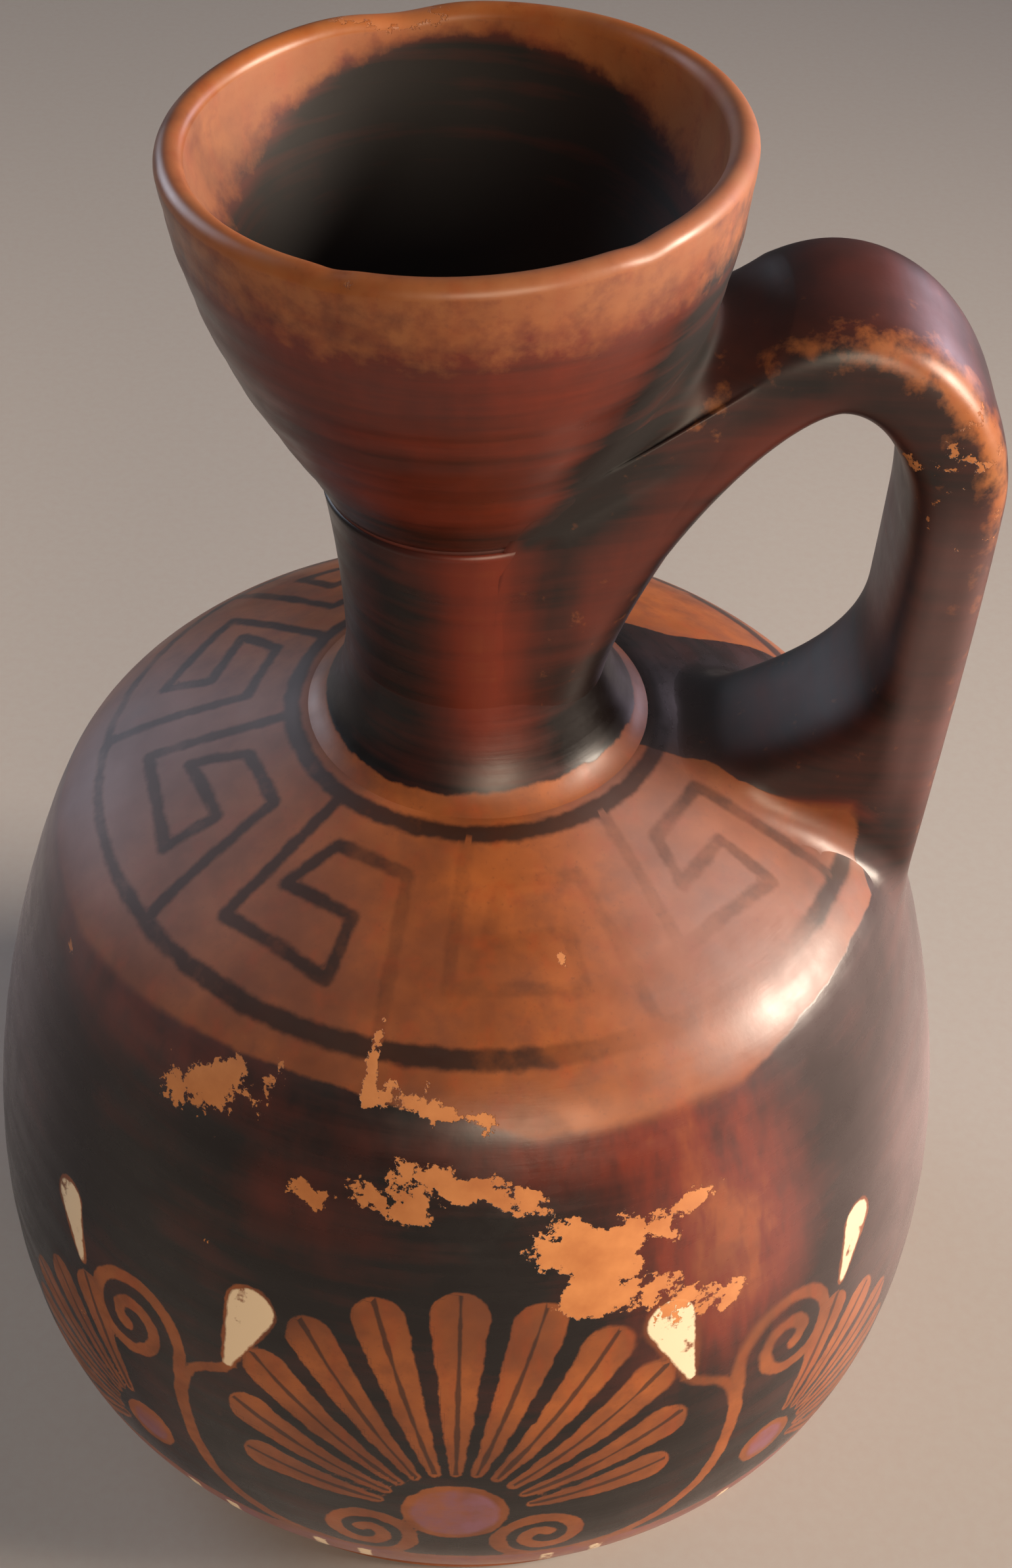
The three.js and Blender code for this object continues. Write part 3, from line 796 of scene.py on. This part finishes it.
STRAP_WIDTH = 20.0
STRAP_THICKNESS = 10.4
STRAP_TAPER = 1.2
STRAP_HOLLOW = 0.5
STRAP_SPACING = 0.35
ROOT_WIDTH = 22.0
ROOT_WEB = 10.5
END_WEB = 78.0
END_REACH = 34.0
ROOT_START = (0, SEAT + 20)
CROWN = (32, 141.4)
SIDE = (44.2, 126.8)
STRAP_END = (42.3, 75.9)
SQUARENESS = 3.4
ROOT_RUN = 0.4
END_RUN = 0.72
# Rows past the foot of a fillet: how far on along the wall, and how far under its surface
HIDDEN_ROWS = ((0.7, 0.03), (1.1, 0.5))


def strap_line():
    """Middle line of the strap in the handle's plane, run on straight into the walls at both ends, and
    each point's share of the true length."""
    turn_over = (SIDE[0] - CROWN[0]) * 0.55
    start, crown = np.array(ROOT_START), np.array(CROWN)
    above_end = (STRAP_END[0] + 1.27, STRAP_END[1] + 0.5 * (SIDE[1] - EDGE[1]))
    line = joined(
        bow(start, (start + crown) / 2 + (0, STRAP_THICKNESS / 4), crown - (turn_over, 0), crown, 120),
        bow(crown, crown + (turn_over, 0), (SIDE[0], SIDE[1] + turn_over), SIDE, 80),
        bow(SIDE, (SIDE[0], SIDE[1] - 1.4 * turn_over), above_end, STRAP_END, 120))
    line = evenly(line, STRAP_SPACING)
    share = run_of(line) / run_of(line)[-1]
    on = np.arange(1, 25)[:, None] * STRAP_SPACING
    before, after = (end + (end - near) / norm(end - near) * on for end, near in (line[:2], line[:-3:-1]))
    return np.vstack([before[::-1], line, after]), np.r_[np.zeros(len(on)), share, np.ones(len(on))]


def from_wall(points):
    """Signed distance of points from the outside of the jar, and the way out from the wall there."""
    found = []
    upper = joined(neck_outside(-1), mouth_outside())
    for outline, lean, base in ((upper, LEAN, SEAT), (body_outside(), 0, 0)):
        outline = evenly(outline, 0.4)
        tangent = np.gradient(outline, axis=0)
        normal = np.column_stack([tangent[:, 1], -tangent[:, 0]]) / norm(tangent, axis=1)[:, None]
        x, z = tipped(-lean, points[:, 0], points[:, 2] - base)
        radius = np.hypot(x, points[:, 1])
        flat = np.column_stack([radius, z])
        nearest = np.concatenate([
            ((part[:, None] - outline) ** 2).sum(-1).argmin(1) for part in np.array_split(flat, 24)])
        off = ((flat - outline[nearest]) * normal[nearest]).sum(1)
        level = normal[nearest, 0] / np.maximum(radius, 1e-6)
        out_x, out_z = tipped(lean, level * x, normal[nearest, 1])
        found.append((off, np.column_stack([out_x, level * points[:, 1], out_z])))
    (upper, upper_out), (lower, lower_out) = found
    closer = lower < upper
    return np.where(closer, lower, upper), np.where(closer[:, None], lower_out, upper_out)


def on_wall(points):
    """Points moved on to the outside of the jar, and the way out from the wall there."""
    for _ in range(3):
        off, out = from_wall(points)
        points = points - off[:, None] * out
    return points, out


def strap_rows(line, share, count):
    """Points of the strap's sections along its middle line, and the sections' own coordinates."""
    tangent = np.gradient(line, axis=0)
    tangent /= norm(tangent, axis=1)[:, None]
    near_root = np.maximum(0, 1 - share / ROOT_RUN)[:, None] ** 2
    near_end = np.maximum(0, (share - END_RUN) / (1 - END_RUN))[:, None] ** 2.4
    near_end = np.minimum(END_REACH, END_WEB * near_end)
    angle = np.linspace(0, 2 * math.pi, count, endpoint=False)[None]
    side, through = (np.sign(part) * abs(part) ** (2 / SQUARENESS) for part in (cos(angle), sin(angle)))
    width = (STRAP_WIDTH + (ROOT_WIDTH - STRAP_WIDTH) * near_root) / 2
    taper = STRAP_TAPER * smooth(0.48, 0.62, share)[:, None]
    under = STRAP_THICKNESS / 2 + ROOT_WEB * near_root + near_end - taper
    # The back of the strap is a little hollow along its middle, as a pulled strap dries.
    back = STRAP_THICKNESS / 2 * through - STRAP_HOLLOW * (1 - side ** 2)
    depth = np.where(through > 0, back, under * through)
    rows = [line[:, :1] - tangent[:, 1:2] * depth, width * side, line[:, 1:2] + tangent[:, :1] * depth]
    return np.stack(rows, -1), side, through


def crossing(values, level):
    """Where along a falling row of values a level is first passed, as a place between two entries."""
    after = max(1, int(np.argmax(values < level)))
    return after - 1 + (values[after - 1] - level) / (values[after - 1] - values[after])


def at_places(table, places):
    """Entries of a table's columns at fractional places, a row of places for each column."""
    columns = []
    for column, place in zip(np.moveaxis(table, 1, 0), places):
        low = np.clip(np.floor(place).astype(int), 0, len(column) - 2)
        part = (place - low).reshape(-1, *[1] * (column.ndim - 1))
        columns.append(column[low] * (1 - part) + column[low + 1] * part)
    return np.stack(columns, 1)


def filleted_half(fillet, rows, normal, gap, *tables):
    """One half of the strap from its middle, and other tables at the same places. Each line along it leaves
    the strap a fillet's length from the wall, bends, and runs out along the wall."""
    steps = np.linspace(0, 1, 76)
    bend = np.linspace(0, 1, 16)[1:, None, None]
    touch, leave = (np.array([[crossing(column, level)] for column in gap.T]) for level in (0, fillet))
    strap = at_places(rows, leave * steps)
    corner, face = at_places(rows, touch)[0], at_places(normal, touch)[0]
    wall = from_wall(corner)[1]
    out = face - (face * wall).sum(1, keepdims=True) * wall
    out /= norm(out, axis=1, keepdims=True)
    foot, wall = on_wall(corner + fillet * out)
    # The bend's corner lies where the strap's line meets the wall's tangent at the far end of the bend.
    line_out = strap[-1] - corner
    lift = ((foot - corner) * wall).sum(1) / np.maximum((line_out * wall).sum(1), 1e-6)
    corner = corner + np.clip(lift, 0, 0.8)[:, None] * line_out
    curve = (1 - bend) ** 2 * strap[-1:] + 2 * bend * (1 - bend) * corner[None] + bend ** 2 * foot[None]
    # Past its foot the bend follows the wall just under its surface, then turns in.
    hidden = []
    for on, under in HIDDEN_ROWS:
        lap, wall = on_wall(foot + on * out)
        hidden.append(lap - under * wall)
    after = (0, len(bend) + len(hidden)), (0, 0)
    return np.concatenate([strap, curve, hidden]), *(
        np.pad(at_places(table, leave * steps), after, "edge") for table in tables)


class LEKYTHOS_OT_handle(bpy.types.Operator):
    """Pulled strap handle, smoothed on to the neck and the shoulder"""
    bl_idname = "lekythos.handle"
    bl_label = "Handle"

    def execute(self, context):
        sizes = context.scene.lekythos_sizes
        line, share = strap_line()
        rows, side, through = strap_rows(line, share, STRAP_COLUMNS)
        normal = np.cross(np.roll(rows, -1, 1) - np.roll(rows, 1, 1), np.gradient(rows, axis=0))
        normal /= np.maximum(norm(normal, axis=-1, keepdims=True), 1e-9)
        normal *= np.sign(((rows - rows.mean(1, keepdims=True)) * normal).sum(-1, keepdims=True))
        gap = from_wall(rows.reshape(-1, 3))[0].reshape(rows.shape[:2])
        tables = rows, normal, gap, *np.broadcast_arrays(share[:, None], side, through)
        middle = len(line) // 2
        root_half = filleted_half(sizes.root_fillet / MM, *(table[middle::-1] for table in tables))
        end_half = filleted_half(sizes.end_fillet / MM, *(table[middle:] for table in tables))
        rows, at, side, through = (
            np.concatenate([root[:0:-1], end]) for root, end in zip(root_half, end_half))
        ends = np.repeat(rows[[0, -1]].mean(1, keepdims=True), rows.shape[1], 1)
        handle = skin("handle_clay", np.concatenate([ends[:1], rows, ends[1:]]))
        # Slip of its own: thin and red low on the near face, rubbed off the crown's near edge
        x, y, z = np.moveaxis(rows, -1, 0)
        crown = np.exp(-0.5 * ((at - 0.455) / 0.075) ** 2)
        edge = np.exp(-0.5 * (np.hypot(side + 0.98, through - 0.7) / 0.3) ** 2)
        near_face, inner_face = smooth(-0.75, -0.97, side), smooth(-0.6, -0.95, through)
        low_face = near_face * smooth(0.1, -0.6, through) * smooth(0.4, 0.3, at)
        down_face = near_face * smooth(0.5, 0.62, at) * smooth(0.95, 0.8, at)
        web_side = near_face * smooth(0.78, 0.8, at) > 0.5
        slip = np.where(web_side, np.clip(np.maximum(x - 40.4, z - 90.2), -COVERED, COVERED), COVERED)
        # The clay worked under the strap keeps its full black.
        off_web = 1 - smooth(43.2, 40.5, x) * smooth(0.7, 0.76, at)
        thin = 0.12 + 0.2 * smooth(0.5, 0.9, through) + 0.55 * low_face + 0.25 * down_face * off_web
        root_back = smooth(0.34, 0.24, at) * smooth(-0.3, 0.3, through)
        # The grey film on the near face's descending part and on the inner face is painted sheen, over a
        # faint film of weathering.
        own = {
            "slip": slip, "thin": thin + 0.7 * smooth(1.4, 0, abs(slip)),
            "rubbed": edge * (1.05 * crown + 0.12),
            "dull": 0.27 + 0.4 * inner_face * smooth(0.66, 0.8, at) + 0.6 * root_back,
            "bloom": (0.03 + 0.2 * down_face + 0.16 * inner_face * smooth(0.55, 0.65, at)) * off_web,
            "flake": patches(at * 360, y, ((205, -9, 5, 1.2, 0.4), (178, -9.2, 8, 1, 0.5)))}
        # Towards the walls, the painting that it meets there
        axial, up = tipped(-LEAN, x, z - SEAT)
        around = np.degrees(np.arctan2(axial, -y))
        on_neck = up < MOUTH_START
        upper = {
            "slip": COVERED, "thin": np.where(on_neck, neck_thinness(around, up), mouth_thinness(around, up)),
            "dull": np.where(on_neck, 0.14, 0.18 + 0.7 * smooth(-14, 8, by_handle(around, up)))}
        lower = wall_paint(np.degrees(np.arctan2(x, -y)), np.hypot(x, y), z, sizes)
        close = smooth(3, 0.3, from_wall(rows.reshape(-1, 3))[0].reshape(at.shape))
        layers = {}
        for name, plain in UNPAINTED.items():
            met = np.where(at < 0.5, upper.get(name, plain), lower.get(name, plain))
            layers[name] = own.get(name, plain) * (1 - close) + met * close
        seated(handle, "Black gloss slip, rubbed", "black_gloss", "handle", **layers)
        return {"FINISHED"}


CAMERA_PLACE = (0, -0.180086, 0.252256)
# Yaw, pitch down from level, and roll
CAMERA_TURNS = ((-0.0182, "Z"), (math.pi / 2 - 0.7555, "X"), (0.0412, "Z"))
CAMERA_LENS = 52.33
# Name, place, size, power and colour of each lamp; places and sizes are metres
LAMPS = (
    ("window_right", (1.08, -0.07, 0.46), 0.46, 2.6, "#ffecd8"),
    ("soft_front", (0.20, -0.72, 0.28), 0.50, 0.6, "#ffe8cc"),
    ("sky_left", (-0.85, 0.70, 0.50), 1.30, 2.6, "#d9e2f2"),
    ("back_right", (0.84, 0.80, 0.24), 0.60, 0.5, "#f2dcee"))
LAMP_AIM = (0, 0, 0.08)
LAMP_SPREAD = radians(45)
WORLD_LIGHT, WORLD_STRENGTH = "#e6e4e6", 0.12
FLOOR_REACH = 3.0


class LEKYTHOS_OT_stage(bpy.types.Operator):
    """Pale floor, soft studio light and the camera"""
    bl_idname = "lekythos.stage"
    bl_label = "Stage"

    def execute(self, context):
        scene = context.scene
        hue = scene.lekythos_colours
        # Gives the eye a pale, even, matt ground with a faint fibre.
        paper, node = blank_material("Studio paper, matt")
        fibre = node(NOISE, (node(SPACE, out="Object"), 1 / (1.5 * MM), 3, 0.6))
        tone = node(MIX, (node(RANGE, (fibre, 0.3, 0.7, 0, 0.06)), hue.floor, hue.clay))
        shader = node(SURFACE, {"Base Color": tone, "Roughness": 0.9, "IOR": 1.45})
        node(OUTPUT, {"Surface": shader})
        mesh = bpy.data.meshes.new("floor")
        corners = [(x * FLOOR_REACH, y * FLOOR_REACH, 0) for x, y in ((-1, -1), (1, -1), (1, 1), (-1, 1))]
        mesh.from_pydata(corners, [], [(0, 1, 2, 3)])
        mesh.materials.append(paper)
        floor = placed("floor", mesh)
        for name, place, size, power, hexcode in LAMPS:
            light = bpy.data.lights.new(name, "AREA")
            light.size, light.energy, light.color, light.spread = size, power, linear(hexcode), LAMP_SPREAD
            way = (Vector(LAMP_AIM) - Vector(place)).to_track_quat("-Z", "Y")
            placed(name, light).matrix_world = Matrix.Translation(place) @ way.to_matrix().to_4x4()
        world = bpy.data.worlds.new("Studio")
        world.use_nodes = True
        background = world.node_tree.nodes["Background"]
        background.inputs["Color"].default_value = (*linear(WORLD_LIGHT), 1)
        background.inputs["Strength"].default_value = WORLD_STRENGTH
        scene.world = world
        scene.view_settings.view_transform = "Standard"
        data = bpy.data.cameras.new("camera")
        data.lens, data.sensor_width, data.sensor_fit = CAMERA_LENS, 36, "AUTO"
        data.clip_start, data.clip_end = 0.01, 20
        scene.camera = placed("camera", data)
        scene.camera.matrix_world = Matrix.Translation(CAMERA_PLACE)
        for angle, axis in CAMERA_TURNS:
            scene.camera.matrix_world @= Matrix.Rotation(angle, 4, axis)
        return {"FINISHED"}


class LEKYTHOS_PT_jar(bpy.types.Panel):
    """Pieces of the jar, in the order they are made"""
    bl_label = "Lekythos"
    bl_idname = "LEKYTHOS_PT_jar"
    bl_space_type = "VIEW_3D"
    bl_region_type = "UI"
    bl_category = "Lekythos"

    def draw(self, context):
        for step in STEPS:
            self.layout.operator(step.bl_idname)
        for group in (context.scene.lekythos_sizes, context.scene.lekythos_colours):
            for name in group.bl_rna.properties.keys():
                if name not in ("rna_type", "name"):
                    self.layout.prop(group, name)


STEPS = (
    LEKYTHOS_OT_foot, LEKYTHOS_OT_body, LEKYTHOS_OT_neck, LEKYTHOS_OT_mouth, LEKYTHOS_OT_handle,
    LEKYTHOS_OT_stage)
CLASSES = (LekythosSizes, LekythosColours, *STEPS, LEKYTHOS_PT_jar)


def register():
    for kind in CLASSES:
        bpy.utils.register_class(kind)
    bpy.types.Scene.lekythos_sizes = PointerProperty(type=LekythosSizes)
    bpy.types.Scene.lekythos_colours = PointerProperty(type=LekythosColours)


def unregister():
    del bpy.types.Scene.lekythos_colours
    del bpy.types.Scene.lekythos_sizes
    for kind in reversed(CLASSES):
        bpy.utils.unregister_class(kind)


def main():
    register()
    bpy.ops.lekythos.foot()
    bpy.ops.lekythos.body()
    bpy.ops.lekythos.neck()
    bpy.ops.lekythos.mouth()
    bpy.ops.lekythos.handle()
    bpy.ops.lekythos.stage()


if __name__ == "__main__":
    main()
